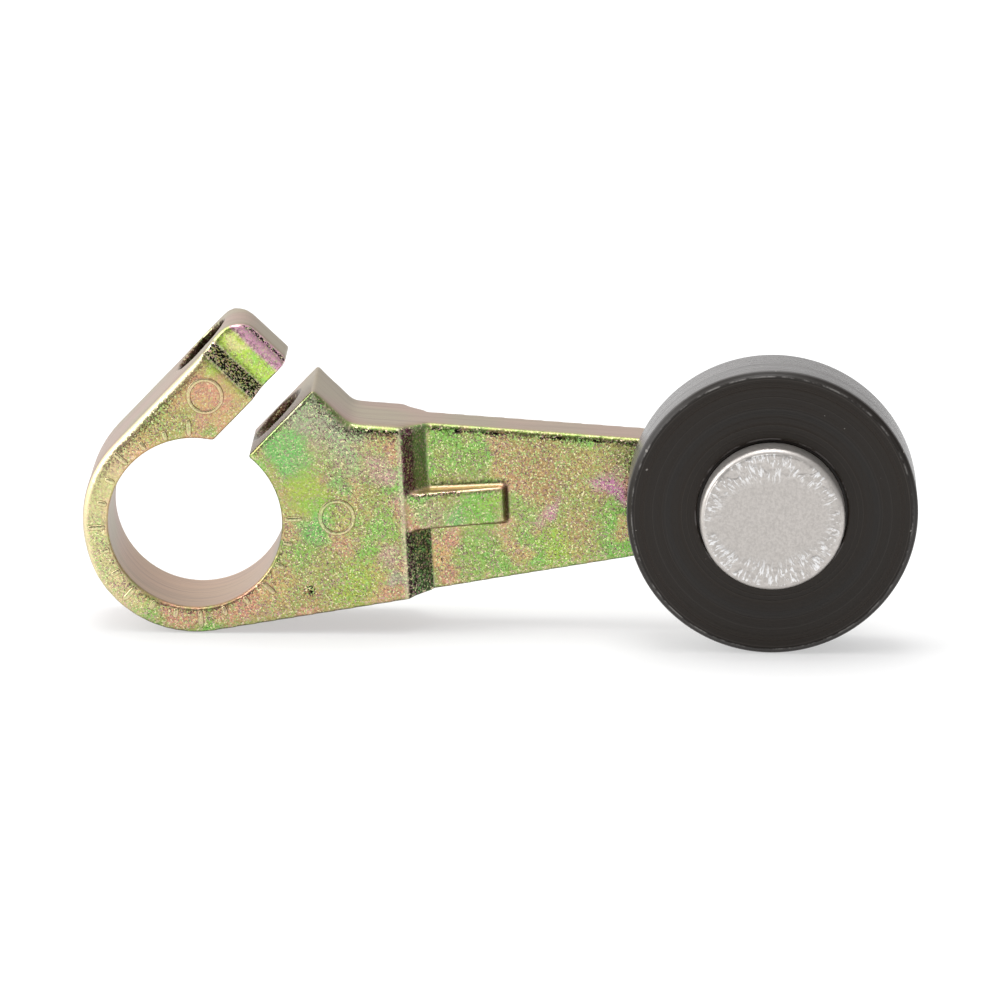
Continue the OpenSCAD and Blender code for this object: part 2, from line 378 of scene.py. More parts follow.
class Nodes:
    """A short way to write a node tree: each call adds one node and links its inputs."""

    def __init__(self, tree):
        self.tree = tree
        tree.nodes.clear()

    def add(self, kind, inputs=(), **values):
        """A node with its settings; an input is linked if it is a socket, else set."""
        node = self.tree.nodes.new(kind)
        for key, value in values.items():
            setattr(node, key, value)
        for key, value in dict(inputs).items():
            socket = node.inputs[key]
            if isinstance(value, bpy.types.NodeSocket):
                self.tree.links.new(value, socket)
            elif socket.type == "RGBA" and len(value) == 3:
                socket.default_value = (*value, 1.0)
            else:
                socket.default_value = value
        return node

    def maths(self, operation, a, b=0.0):
        return self.add("ShaderNodeMath", {0: a, 1: b}, operation=operation).outputs[0]

    def vector(self, operation, inputs, output="Vector"):
        return self.add("ShaderNodeVectorMath", inputs, operation=operation).outputs[output]

    def remap(self, value, low, high, out_low=0.0, out_high=1.0, smooth=True):
        """Carries the range low to high over to out_low to out_high, and holds it there."""
        kind = "SMOOTHSTEP" if smooth else "LINEAR"
        inputs = {"Value": value, "From Min": low, "From Max": high}
        inputs |= {"To Min": out_low, "To Max": out_high}
        return self.add("ShaderNodeMapRange", inputs, interpolation_type=kind).outputs[0]

    def within(self, value, rise, full, fading, end):
        """1 between full and fading, 0 outside rise and end, with a soft edge between."""
        return self.maths("MULTIPLY", self.remap(value, rise, full), self.remap(value, end, fading))

    def mix(self, share_, a, b, blend="MIX"):
        """Colour a, with that share of colour b blended in."""
        node = self.tree.nodes.new("ShaderNodeMix")
        node.data_type = "RGBA"
        node.blend_type = blend
        for socket, value in ((node.inputs[0], share_), (node.inputs[6], a), (node.inputs[7], b)):
            if isinstance(value, bpy.types.NodeSocket):
                self.tree.links.new(value, socket)
            elif socket.type == "RGBA":
                socket.default_value = (*value[:3], 1.0)
            else:
                socket.default_value = value
        return node.outputs[2]

    def noise(self, vector, scale, detail=2.0, rough=0.5, distortion=0.0):
        inputs = {"Vector": vector, "Scale": scale, "Detail": detail}
        inputs |= {"Roughness": rough, "Distortion": distortion}
        return self.add("ShaderNodeTexNoise", inputs).outputs[0]


def start_material(name):
    """A new material: its node helper, its Principled shader and its texture coordinates."""
    material = bpy.data.materials.new(name)
    material.use_nodes = True
    n = Nodes(material.node_tree)
    shader = n.add("ShaderNodeBsdfPrincipled")
    out = n.add("ShaderNodeOutputMaterial")
    n.tree.links.new(shader.outputs[0], out.inputs[0])
    place = n.add("ShaderNodeTexCoord")
    return material, n, shader, place


def about_pin(n, place):
    """Object coordinates measured from the pin's axis, and how far from that axis they lie."""
    inputs = {"Vector": place.outputs["Object"], "Location": (-ARM, 0, 0)}
    centred = n.add("ShaderNodeMapping", inputs).outputs[0]
    flat = n.vector("MULTIPLY", {0: centred, 1: (1, 0, 1)})
    return centred, n.vector("LENGTH", {0: flat}, "Value")


# ---------------------------------------------------------------- materials


def chromate_material(s):
    """Yellow chromate over a rough casting. The film's colour, with the painted highlights and
    painted shade laid into it, and, as its alpha, how grainy the skin is come from the painted
    attribute; each grain leans its own way and has its own tint."""
    material, n, shader, place = start_material("chromate")
    here = place.outputs["Object"]
    paint = n.add("ShaderNodeAttribute", attribute_name=PAINT)
    film, grainy = paint.outputs["Color"], paint.outputs["Alpha"]

    grain = n.add("ShaderNodeTexVoronoi", {"Vector": here, "Scale": 11000}).outputs["Color"]
    first, second, third = n.add("ShaderNodeSeparateColor", {0: grain}).outputs
    light = n.remap(first, 0, 1, 0.52, 1.04, False)
    grey = n.add("ShaderNodeCombineColor", {0: light, 1: light, 2: light}).outputs[0]
    colour = n.mix(1.0, film, n.mix(grainy, (1, 1, 1), grey), "MULTIPLY")
    pits = n.noise(here, 6200, 1, 0.5)
    for share_, speck in (
        (n.remap(second, 0.87, 0.91, 0, 0.80), YELLOW_SPECK),
        (n.remap(third, 0.74, 0.82, 0, 0.50), BLUSH_SPECK),
        (n.remap(third, 0.24, 0.16, 0, 0.45), LEAF_SPECK),
        (n.remap(pits, 0.31, 0.26, 0, 0.65), PORE),
    ):
        colour = n.mix(n.maths("MULTIPLY", share_, grainy), colour, speck)
    # Where the painted graininess is over 1, more than half of the grains are black: these black
    # grains are painted shade and painted dark reflections.
    shade_specks = n.maths("MULTIPLY", n.remap(grainy, 1.1, 1.6), n.remap(first, 0.58, 0.52))
    colour = n.mix(shade_specks, colour, SHADE_SPECK)
    # The smooth walls have fine streaks round the outline.
    streak = n.noise(n.vector("MULTIPLY", {0: here, 1: (130, 3600, 130)}), 1, 3, 0.6)
    streaked = n.remap(streak, 0.40, 0.75, 0, 0.55)
    smooth = n.maths("SUBTRACT", 1.0, grainy)
    colour = n.mix(n.maths("MULTIPLY", streaked, smooth), colour, WALL_STREAK)

    lean = n.vector("SUBTRACT", {0: grain, 1: (0.5, 0.5, 0.5)})
    lean = n.vector("SCALE", {0: lean, "Scale": n.maths("MULTIPLY", grainy, s.facet)})
    normal = n.add("ShaderNodeNewGeometry").outputs["Normal"]
    normal = n.vector("NORMALIZE", {0: n.vector("ADD", {0: normal, 1: lean})})
    coarse = n.noise(here, 4200, 2, 0.6)
    height = n.maths("ADD", coarse, n.maths("MULTIPLY", streak, 0.15))
    bump = {"Height": height, "Strength": 0.35, "Distance": 0.03 * MM, "Normal": normal}
    bump = n.add("ShaderNodeBump", bump)
    n.tree.links.new(colour, shader.inputs["Base Color"])
    n.tree.links.new(bump.outputs[0], shader.inputs["Normal"])
    n.tree.links.new(n.remap(grainy, 0, 1, 0.40, 0.27, False), shader.inputs["Roughness"])
    shader.inputs["Metallic"].default_value = 0.92
    return material


def turned_plastic(s):
    """Black turned plastic: rings round the pin's axis on the faces, lightened as painted sheen,
    painted glints on two edges, and a paler rim, partly worn and partly painted sheen.
    """
    material, n, shader, place = start_material("turned_plastic")
    centred, radius = about_pin(n, place)
    depth = n.add("ShaderNodeSeparateXYZ", {0: centred}).outputs["Y"]
    at_radius = n.add("ShaderNodeCombineXYZ", {"X": radius, "Y": depth}).outputs[0]
    rings = n.noise(at_radius, 6500, 3, 0.7)
    bands = n.noise(at_radius, 1100, 2, 0.5)
    # The turning rings are real grooves; their lighter colour is painted sheen.
    turned = n.remap(rings, 0.54, 0.68, 0, 0.75)
    colour = n.mix(n.remap(bands, 0.35, 0.65), tuple(s.face), DULL_PLASTIC)
    colour = n.mix(turned, colour, TURNED_RING_SHEEN)
    # Painted glints, broken up by noise, on the edges of the chamfer and of the recess.
    glint_patches = n.remap(n.noise(centred, 900, 3, 0.7), 0.45, 0.62)
    foot = ROLLER_R - s.chamfer
    for rise, full, fading, end, share_, pale in (
        (foot - 0.05 * MM, foot, foot + 0.03 * MM, foot + 0.09 * MM, 0.8, RIM_GLINT),
        (s.recess, s.recess + 0.06 * MM, s.recess + 0.08 * MM, s.recess + 0.16 * MM, 0.6, RECESS_GLINT),
    ):
        edge = n.maths("MULTIPLY", n.within(radius, rise, full, fading, end), glint_patches)
        colour = n.mix(n.maths("MULTIPLY", edge, share_), colour, pale)
    # The running surface is paler all round: its scratches are wear, and its paleness is partly
    # painted sheen.
    worn = n.remap(radius, ROLLER_R - 0.10 * MM, ROLLER_R - 0.02 * MM)
    scratch = n.noise(n.vector("MULTIPLY", {0: centred, 1: (300, 5000, 300)}), 1, 3, 0.6)
    rim = n.mix(n.remap(scratch, 0.35, 0.7), tuple(s.rim), tuple(1.5 * c for c in s.rim))
    colour = n.mix(worn, colour, rim)
    colour = n.mix(n.remap(n.noise(centred, 2300, 1, 0.5), 0.77, 0.80, 0, 0.8), colour, DUST)
    rough = n.maths("MULTIPLY", n.noise(centred, 3800, 2), 0.2)
    height = n.maths("ADD", n.maths("MULTIPLY", rings, 0.8), rough)
    bump = n.add("ShaderNodeBump", {"Height": height, "Strength": 0.8, "Distance": 0.04 * MM})
    n.tree.links.new(colour, shader.inputs["Base Color"])
    n.tree.links.new(bump.outputs[0], shader.inputs["Normal"])
    n.tree.links.new(n.remap(bands, 0.3, 0.7, 0.26, 0.38), shader.inputs["Roughness"])
    shader.inputs["Specular IOR Level"].default_value = 0.30
    return material


def scuffed_steel(s):
    """Plain steel: matte in the middle of the head, short bright radial scuffs near the rim.

    The scuffs are noise that changes fast with the angle and slowly with the radius; they reach
    further in above and below the middle than to its left and right."""
    material, n, shader, place = start_material("scuffed_steel")
    centred, radius = about_pin(n, place)
    split = n.add("ShaderNodeSeparateXYZ", {0: centred}).outputs
    angle = n.maths("ARCTAN2", split["Z"], split["X"])
    high = n.maths("SINE", angle)
    polar = n.add("ShaderNodeCombineXYZ", {
        "X": n.maths("MULTIPLY", n.maths("COSINE", angle), 13.0),
        "Y": n.maths("MULTIPLY", high, 13.0),
        "Z": n.maths("MULTIPLY", radius, 1100.0),
    }).outputs[0]
    scuff = n.noise(polar, 1.6, 3, 0.7, distortion=0.4)
    reach = n.maths("MULTIPLY", n.maths("ABSOLUTE", high), 1.1 * MM)
    ragged = n.maths("MULTIPLY", n.noise(centred, 700, 2), 1.2 * MM)
    from_middle = n.maths("ADD", n.maths("ADD", radius, ragged), reach)
    near_rim = n.remap(from_middle, 4.1 * MM, 5.0 * MM)
    on_flat = n.remap(radius, PIN_R - 0.25 * MM, PIN_R - 0.35 * MM)
    clump = n.remap(n.noise(centred, 1100, 2), 0.36, 0.50)
    near_rim = n.maths("MULTIPLY", n.maths("MULTIPLY", near_rim, on_flat), clump)
    bright = n.maths("MULTIPLY", n.remap(scuff, 0.51, 0.58), near_rim)
    grain = n.noise(centred, 5200, 3, 0.65)
    dull = tuple(0.90 * c for c in s.steel)
    colour = n.mix(n.remap(grain, 0.35, 0.65), tuple(s.steel), dull)
    colour = n.mix(n.maths("MULTIPLY", bright, 0.85), colour, SCUFF)
    raised = n.maths("MULTIPLY", n.maths("MULTIPLY", scuff, near_rim), 1.5)
    height = n.maths("ADD", raised, n.maths("MULTIPLY", grain, 0.3))
    bump = n.add("ShaderNodeBump", {"Height": height, "Strength": 0.6, "Distance": 0.05 * MM})
    n.tree.links.new(colour, shader.inputs["Base Color"])
    n.tree.links.new(bump.outputs[0], shader.inputs["Normal"])
    n.tree.links.new(n.remap(grain, 0.3, 0.7, 0.34, 0.5), shader.inputs["Roughness"])
    shader.inputs["Metallic"].default_value = 0.85
    return material


# ---------------------------------------------------------------- pieces


# Where the chromate film takes which colour on the front: x and z in millimetres from the shaft
# axis, radius of the patch, colour, strength. Later patches lie over earlier ones.
FILM_PATCHES = (
    (-3.4, 6.2, 3.0, "orange", 0.8), (-1.6, 7.2, 1.6, "olive", 0.6), (-5.0, 4.6, 1.2, "gold", 0.7),
    (1.0, 8.2, 2.8, "orange", 0.9), (2.4, 8.8, 1.3, "rose", 0.9), (0.6, 9.0, 1.0, "rose", 0.6),
    (1.7, 10.2, 0.6, "lime", 0.8), (3.2, 7.6, 1.1, "gold", 0.8), (-0.2, 7.0, 1.0, "olive", 0.7),
    (1.4, 6.6, 0.9, "rose", 0.6),
    (4.6, 11.6, 3.2, "lime", 1.0), (3.4, 11.6, 1.4, "lime", 0.6), (5.6, 11.2, 1.5, "green", 0.8),
    (3.2, 13.0, 0.9, "gold", 0.5),
    (-6.2, 2.8, 1.9, "lime", 0.8), (-6.4, -1.0, 1.7, "lime", 0.7), (-6.0, 0.2, 0.8, "orange", 0.9),
    (-5.8, 1.6, 0.6, "rose", 0.6), (-5.7, -1.7, 0.8, "orange", 0.8), (-5.3, -3.0, 1.1, "gold", 0.9),
    (-4.2, -4.8, 1.3, "orange", 0.7), (-3.0, -5.2, 0.8, "olive", 0.8), (-2.0, -6.3, 1.4, "rose", 0.9),
    (-0.4, -6.4, 1.0, "rose", 0.8), (0.6, -6.2, 0.6, "olive", 0.8), (1.8, -6.3, 1.0, "rose", 0.8),
    (3.6, -5.4, 1.4, "rose", 0.9), (5.0, -4.7, 1.3, "orange", 0.8), (5.8, -5.6, 0.9, "gold", 0.7),
    (6.4, 1.6, 0.9, "rose", 0.6), (6.6, 0.2, 0.9, "orange", 0.6), (6.6, -1.2, 0.9, "rose", 0.7),
    (4.9, 4.9, 0.8, "gold", 0.8),
    (8.4, 7.4, 2.6, "grey", 0.8), (10.6, 5.2, 2.6, "grey", 0.7), (6.4, 5.0, 1.6, "teal", 0.9),
    (7.2, 3.6, 1.3, "teal", 0.8), (7.5, 2.0, 1.4, "lime", 0.9), (7.4, 0.6, 0.9, "lime", 0.6),
    (7.9, -1.0, 1.2, "teal", 0.7), (7.0, -2.7, 1.1, "green", 0.8), (9.6, 0.2, 1.3, "gold", 0.6),
    (9.5, 2.4, 0.7, "teal", 0.6), (12.6, 5.3, 0.9, "orange", 0.7), (12.7, 2.9, 1.1, "pink", 0.9),
    (11.6, 4.2, 1.1, "gold", 0.5), (12.1, -0.7, 1.1, "green", 0.8), (11.5, -2.3, 0.8, "green", 0.8),
    (10.4, -4.7, 2.2, "lime", 0.7), (12.9, -2.8, 0.9, "pink", 0.7), (8.4, -3.4, 1.8, "olive", 0.8),
    # The brown patch at x 7.2, z -4.9 is painted shade in the casting pit.
    (13.2, 0.8, 0.6, "pink", 0.5), (13.3, -4.4, 0.8, "grey", 0.8), (7.2, -4.9, 0.5, "brown", 0.9),
    (17.2, 2.4, 2.0, "olive", 0.7), (18.3, 3.9, 1.7, "green", 0.6), (20.6, 2.6, 1.0, "orange", 0.8),
    (21.6, 3.6, 1.4, "brown", 0.8), (23.8, 2.4, 2.8, "brown", 0.9), (26.4, 2.2, 1.9, "gold", 0.7),
    (28.6, 3.0, 1.5, "olive", 0.8), (27.5, 1.3, 0.9, "magenta", 0.8), (27.9, 0.2, 0.8, "magenta", 0.8),
    (26.8, 0.9, 0.6, "pink", 0.7), (21.6, -0.7, 1.6, "green", 0.7), (23.5, -0.4, 0.6, "magenta", 0.6),
    (24.1, 0.1, 0.5, "pink", 0.7), (22.8, -1.3, 0.6, "pink", 0.7), (24.0, -3.0, 1.5, "lime", 0.8),
    (25.6, -2.0, 1.6, "brown", 0.9), (27.6, -1.2, 1.3, "green", 0.8), (28.3, -2.1, 0.8, "orange", 0.8),
    (18.6, -3.6, 2.2, "green", 0.8), (17.0, -2.2, 0.8, "rose", 0.8), (16.3, -3.5, 1.0, "orange", 0.9),
    (16.6, -4.9, 0.8, "rose", 0.8), (21.2, -3.3, 1.1, "gold", 0.8), (26.0, -3.6, 1.0, "gold", 0.6),
    (15.4, 0.0, 1.0, "grey", 0.3), (17.2, -0.4, 1.2, "teal", 0.9), (19.0, 0.0, 1.7, "green", 1.0),
    (19.6, 0.2, 0.8, "lime", 0.5),
)
# Where the film is smooth rather than grainy: x, z, radius, strength.
SMOOTH_PATCHES = (
    (4.8, 11.4, 3.4, 0.65), (1.6, 8.8, 2.6, 0.35), (6.6, 4.4, 2.2, 0.30), (7.4, 1.6, 1.6, 0.4),
    (18.6, -0.1, 2.4, 0.2), (-6.2, 2.6, 2.0, 0.4),
)
PAINT = "film"


def smoothstep(low, high, value):
    """0 below low, 1 above high (or the other way round), with a soft rise between."""
    t = np.clip((value - low) / (high - low), 0, 1)
    return t * t * (3 - 2 * t)


def band(rise, full, fading, end, value):
    """1 between full and fading, 0 outside rise and end, with a soft edge between."""
    return smoothstep(rise, full, value) * smoothstep(end, fading, value)


def blend(base, colour, share_):
    """Mixes a colour into rows of colours, each by its own share."""
    return base + (np.asarray(colour)[:3] - base) * share_[:, None]


class Film:
    """The film's colour and graininess at each point of a mesh, laid on in the order of the
    methods. Lengths are in millimetres: x and z from the shaft axis, along and off as
    slot_frame gives them, and gap is the distance to the outline. Broad is 1 on the faces that
    look along the shaft and 0 on the walls."""

    def __init__(self, points, normals, s):
        self.points, self.normals, self.s = points, normals, s
        self.x, self.y, self.z = (points / MM).T
        self.along, self.off = slot_frame(self.x, self.z)
        self.gap = outline_gap(points) / MM
        self.broad = np.abs(normals[:, 1])
        self.front = smoothstep(0.2, -0.6, self.y)
        self.low = self.noise(3.1, 3)
        self.fine = self.noise(0.9, 4)
        self.colour = np.tile(np.array(s.green), (len(points), 1))
        self.grainy = np.ones(len(points))

    def noise(self, cell, seed):
        """Soft noise at the points, with cells of that many millimetres."""
        return soft_noise(self.points, cell * MM, seed)

    def lay(self, colour, share_):
        """Lays a colour over what is there."""
        self.colour = blend(self.colour, colour, share_)

    def speckle(self, level):
        """Raises the graininess to at least that level; over 1 it turns grains black, as painted shade
        and painted dark reflections.
        """
        self.grainy = np.maximum(self.grainy, level)

    def ground(self):
        """Noise between four film colours, softer behind."""
        front, fine, s = self.front, self.fine, self.s
        self.lay(s.olive, smoothstep(-0.3, 0.3, self.low + 0.5 * fine))
        rosy = smoothstep(0.25, 0.55, self.noise(2.3, 5) + 0.4 * fine)
        self.lay(s.rose, (0.35 + 0.35 * front) * rosy)
        dull = smoothstep(0.2, 0.5, self.noise(2.7, 6) - 0.4 * fine)
        self.lay(s.brown, (0.40 + 0.20 * front) * dull)
        self.lay(s.olive, 0.30 * (1 - front))

    def patches(self):
        """The patches of the front, each a smoothstep of the distance from its middle, with
        their outlines made uneven by noise."""
        u = self.x + 0.75 * self.noise(1.3, 7) + 0.25 * self.noise(0.4, 9)
        v = self.z + 0.75 * self.noise(1.3, 8) + 0.25 * self.noise(0.4, 10)
        for px, pz, radius, name, strength in FILM_PATCHES:
            near = smoothstep(1.25 * radius, 0.45 * radius, np.hypot(u - px, v - pz))
            self.lay(getattr(self.s, name), near * strength * self.front)
        for px, pz, radius, strength in SMOOTH_PATCHES:
            near = smoothstep(1.25 * radius, 0.6 * radius, np.hypot(self.x - px, self.z - pz))
            self.grainy = self.grainy * (1 - near * strength * self.front)

    def edges(self):
        """The rounded edge along the outline is painted pale, a painted highlight. Over the jaw and
        the arm it is greener, with a broken black line of painted dark reflection inside it; below it
        is darkened as painted shade, and the hub's left side is paled as a painted highlight."""
        below = smoothstep(-0.15, -0.45, self.normals[:, 2])
        under_slot = self.off < JAW_FACE / MM + 0.05
        top_edge = ((self.x > 6.5) & (self.z > 0) & under_slot) * self.front
        near = smoothstep(1.3, 0.9, self.gap)
        edge = smoothstep(0.97, 0.84, self.broad) * near
        # Painted highlight: the rounded edges are laid over with the pale bevel colour.
        self.lay(self.s.bevel, 0.75 * edge * (1 - below) * (1 - top_edge))
        self.lay(TOP_EDGE, 0.85 * edge * top_edge)
        # Painted shade on the rounded edge underneath.
        self.lay(np.array(self.s.shade) * 0.4, below * smoothstep(0.86, 0.66, self.broad) * near)
        # Painted highlight: the left side of the hub's front is paled.
        self.lay(RING_LEFT_HIGHLIGHT, 0.62 * smoothstep(-2.6, -5.4, self.x) * self.front)
        self.grainy = self.grainy * (0.35 + 0.65 * smoothstep(0.80, 0.97, self.broad))
        # Painted dark reflection: a broken black line just inside the top edge's rounding.
        dark_reflection_line = band(0.20, 0.28, 0.46, 0.56, self.gap) * top_edge
        self.speckle(1.6 * dark_reflection_line * smoothstep(-0.35, -0.1, self.fine))
        # Painted shade: the grains in and round the casting pit are turned black.
        from_pit = np.hypot((self.x - PIT_X) / PIT_STRETCH, self.z - PIT_Z)
        self.speckle(1.7 * smoothstep(0.42, 0.22, from_pit + 0.1 * self.fine) * self.front)

    def ear(self):
        """The end of the ear: a speckled step of painted dark reflection and glints, mottled green, a
        magenta band, then a black speckled line of painted shade at the edge."""
        x, along, broad, fine = self.x, self.along, self.broad, self.fine
        on_ear = ((self.off > 2.6) & (self.y < 0)) * 1.0
        beyond = smoothstep(9.7, 9.9, along) * on_ear
        self.lay(EAR_LIME, 0.6 * beyond)
        mottle = self.noise(0.5, 11)
        self.lay(EAR_GREEN, 0.65 * beyond * smoothstep(0.1, 0.6, mottle + 0.25 * (x - 5.0)))
        self.lay(EAR_CREAM, 0.70 * beyond * smoothstep(0.1, 0.6, -mottle - 0.35 * (x - 3.2)))
        self.speckle(0.6 * beyond)
        self.lay(EAR_MAGENTA, 0.95 * smoothstep(10.98, 11.10, along + 0.1 * fine) * on_ear)
        # Painted shade: a black speckled line along the ear's rounded end edge.
        rim = smoothstep(11.5, 11.7, along) * band(0.26, 0.34, 0.64, 0.72, broad) * on_ear
        self.speckle(1.6 * rim)
        # The step's black grains are a painted dark reflection and its pale grains painted glints.
        step = band(*STEP_BAND, along) * band(0.3, 0.5, 0.85, 0.95, broad) * on_ear
        self.lay(STEP_GLINT, step)
        self.speckle(1.7 * step)

    def slope(self):
        """The slope at the arm's root: a pale ridge that is a painted highlight, then maroon, then
        dark green, with painted shade over its lower half.
        """
        x, z = self.x, self.z
        # Painted highlight: a pale line along the ridge at the arm's root.
        ridge_highlight = band(*RIDGE_HIGHLIGHT_BAND, x) * (self.y < -3.2)
        self.lay(self.s.bevel, 0.6 * ridge_highlight)
        root = band(*SLOPE_BAND, x) * smoothstep(0.93, 0.80, self.broad)
        root *= smoothstep(0.3, 0.6, self.normals[:, 0]) * (0.3 + 0.7 * self.front)
        self.lay(SLOPE_GREEN, root)
        self.lay(self.s.maroon, root * smoothstep(14.7, 14.3, x + 0.25 * self.fine))
        # Painted shade: the lower half of the slope is darkened.
        self.colour = self.colour * (1 - 0.84 * (root * smoothstep(0, -1.0, z))[:, None])
        self.grainy = np.where(root > 0.3, 0.85, self.grainy)

    def rib(self):
        """The rib: rosy upper wall, a dark line of painted reflection along half of its top edge, and
        painted shade on its end and on its faces that look down.
        """
        x, z, up = self.x, self.z, self.normals[:, 2]
        on_rib = ((x > 14.2) & (x < 21.3) & (np.abs(z) < 1.7) & (self.y < -1.75)) * 1.0
        self.lay(RIB_ROSE, 0.90 * on_rib * smoothstep(0.32, 0.55, up))
        # Painted dark reflection: a black speckled line along the rib's top edge.
        self.speckle(1.5 * band(*RIB_REFLECTION_LINE_BAND, z) * smoothstep(18.4, 17.4, x) * on_rib)
        # Painted shade on the rib's end and on its faces that look down.
        end = smoothstep(20.30, 20.50, x) * smoothstep(0.93, 0.80, self.broad)
        self.lay(RIB_SHADE, 0.85 * on_rib * np.maximum(end, smoothstep(-0.35, -0.6, up)))
        return on_rib

    def walls(self, on_rib):
        """The plain side walls, and painted shade on the insides of the two screw holes."""
        x, z = self.x, self.z
        wall = smoothstep(0.42, 0.18, self.broad) * (1 - on_rib)
        plain = np.tile(np.array(self.s.wall), (len(x), 1))
        plain = blend(plain, self.s.rosy, smoothstep(-0.4, 0.5, self.low))
        in_bore = 0.8 * smoothstep(0.3, 0.1, np.hypot(x, z) - BORE_R / MM)
        plain = blend(plain, BORE_ROSE, in_bore * smoothstep(-1.0, -3.5, z))
        plain = blend(plain, BORE_OLIVE, in_bore * smoothstep(-3.5, -1.5, z) * (x > 0))
        self.colour = self.colour + (plain - self.colour) * wall[:, None]
        self.grainy = self.grainy * (1 - wall)
        hole = np.hypot(self.along - SCREW_REACH / MM, self.y - SCREW_OFFSET / MM)
        in_ear = smoothstep(2.38, 2.20, hole) * (self.off < 7.45) * (self.off > 3.2)
        in_jaw = smoothstep(2.42, 2.25, hole) * (self.off < 0.75) * (self.off > -6.3)
        inside = np.maximum(in_ear, in_jaw) * (self.along > 5)
        # Painted shade inside the screw holes.
        self.lay(HOLE_SHADE, inside)
        self.grainy = self.grainy * (1 - inside) + 0.25 * inside

    def rows(self):
        """Red, green, blue and, as alpha, the graininess of each point."""
        self.ground()
        self.patches()
        self.edges()
        self.ear()
        self.slope()
        self.walls(self.rib())
        return np.column_stack([self.colour, np.clip(self.grainy, 0, 2)])


def slot_frame(x, z):
    """Distance out along the clamp slot, and distance across it from jaw to ear."""
    along = x * math.cos(SLOT_ANGLE) + z * math.sin(SLOT_ANGLE)
    return along, z * math.cos(SLOT_ANGLE) - x * math.sin(SLOT_ANGLE)


def outline_gap(points):
    """Distance to the side outline. Left of the shaft it is a circle; on the ear it is the outer
    wall or the end; elsewhere the larger of the distances to the arm's tapering edge and to the
    jaw's two walls, because the jaw and the arm are joined."""
    x, _, z = points.T
    along, off = slot_frame(x, z)
    to_end = CLAMP_LENGTH - along
    reach = np.where(x < 0, np.hypot(x, z), np.abs(z) * math.cos(TAPER) + x * math.sin(TAPER))
    joined = np.maximum(HUB_R - reach, np.minimum(to_end, off + JAW_DROP))
    lower = np.where((x > 0) & (z > 0), joined, HUB_R - reach)
    ear = np.minimum(np.abs(HUB_R - off), np.abs(to_end))
    return np.where((along > 0) & (off > (JAW_FACE + EAR_FACE) / 2), ear, np.abs(lower))


def vertex_rows(mesh, what="co"):
    """A mesh's points, or their normals, as rows of x, y, z."""
    values = np.empty(len(mesh.vertices) * 3)
    mesh.vertices.foreach_get(what, values)
    return values.reshape(-1, 3)


def lay_paint(mesh, s, raised=False):
    """Stores the film's colour on every point of a mesh; raised marks get painted shade at the foot
    and a painted highlight on the crest."""
    points = vertex_rows(mesh)
    film = Film(points, vertex_rows(mesh, "normal"), s).rows()
    if raised:
        # Painted shade at each mark's foot and a painted highlight on its crest.
        rise = -HUB_FACE - points[:, 1]
        foot = smoothstep(0.075 * MM, 0.03 * MM, rise)
        film[:, :3] = blend(film[:, :3], MARK_HIGHLIGHT, 0.60 * (1 - foot))
        film[:, :3] = blend(film[:, :3], MARK_FOOT_SHADE, 0.95 * foot)
        film[:, 3] *= 0.8
    mesh.attributes.new(PAINT, "FLOAT_COLOR", "POINT").data.foreach_set("color", film.ravel())


def cast_skin(node, grain, passes):
    """The CAD solid remeshed evenly, its hub faces made flat; then each point moves part of the
    way to the mean of its neighbours a number of times, which wears the edges round."""
    mesh = node.data.copy()
    clean(mesh, 1e-7)
    rough = bpy.data.objects.new("rough_casting", mesh)
    bpy.context.scene.collection.objects.link(rough)
    remesh = rough.modifiers.new("even", "REMESH")
    remesh.mode = "VOXEL"
    remesh.voxel_size = grain
    seen = rough.evaluated_get(bpy.context.evaluated_depsgraph_get())
    skin = bpy.data.meshes.new_from_object(seen)
    bpy.data.objects.remove(rough)

    points = vertex_rows(skin)
    edges = np.empty(len(skin.edges) * 2, int)
    skin.edges.foreach_get("vertices", edges)
    a, b = edges.reshape(-1, 2).T
    both, other = np.concatenate([a, b]), np.concatenate([b, a])
    count = len(points)
    degree = np.bincount(both, minlength=count)
    points[:, 1] = np.clip(points[:, 1], -HUB_FACE, HUB_FACE)
    pull = 0.5 * wear_share(points)
    for _ in range(passes):
        total = np.stack([np.bincount(both, points[other, k], count) for k in range(3)], 1)
        points = points + (total / degree[:, None] - points) * pull[:, None]
    skin.vertices.foreach_set("co", points.ravel())
    return skin


def wear_share(points):
    """How freely each point is worn, from 0 to 1: most along the outline of the hub, where the
    casting's edges are well rounded, less on the arm and the end of the ear, little on the rib
    and the steps, and least where the bore, the slot and the screw holes were cut."""
    x, y, z = points.T
    along, off = slot_frame(x, z)
    outline = np.clip(1.3 - outline_gap(points) / (1.0 * MM), 0, 1)
    outline *= 1 - 0.75 * smoothstep(13.5 * MM, 15.5 * MM, x)
    outline *= 1 - 0.6 * smoothstep(0, 2.0 * MM, y)
    outline *= 1 - 0.85 * smoothstep(-0.5 * MM, -4.0 * MM, z)
    outline *= 1 - 0.8 * smoothstep(8.0 * MM, 8.8 * MM, along) * (off > EAR_FACE - 0.1 * MM)
    outline = np.maximum(outline, 0.06)
    from_bore = np.abs(np.hypot(x, z) - BORE_R)
    from_slot = np.where(along > 0, np.minimum(np.abs(off - JAW_FACE), np.abs(off - EAR_FACE)), 1.0)
    from_hole = np.abs(np.hypot(along - SCREW_REACH, y - SCREW_OFFSET) - SCREW_R)
    nearest = np.minimum(np.minimum(from_bore, from_slot), from_hole)
    return outline * np.clip(0.08 + nearest / (1.0 * MM), 0, 1)


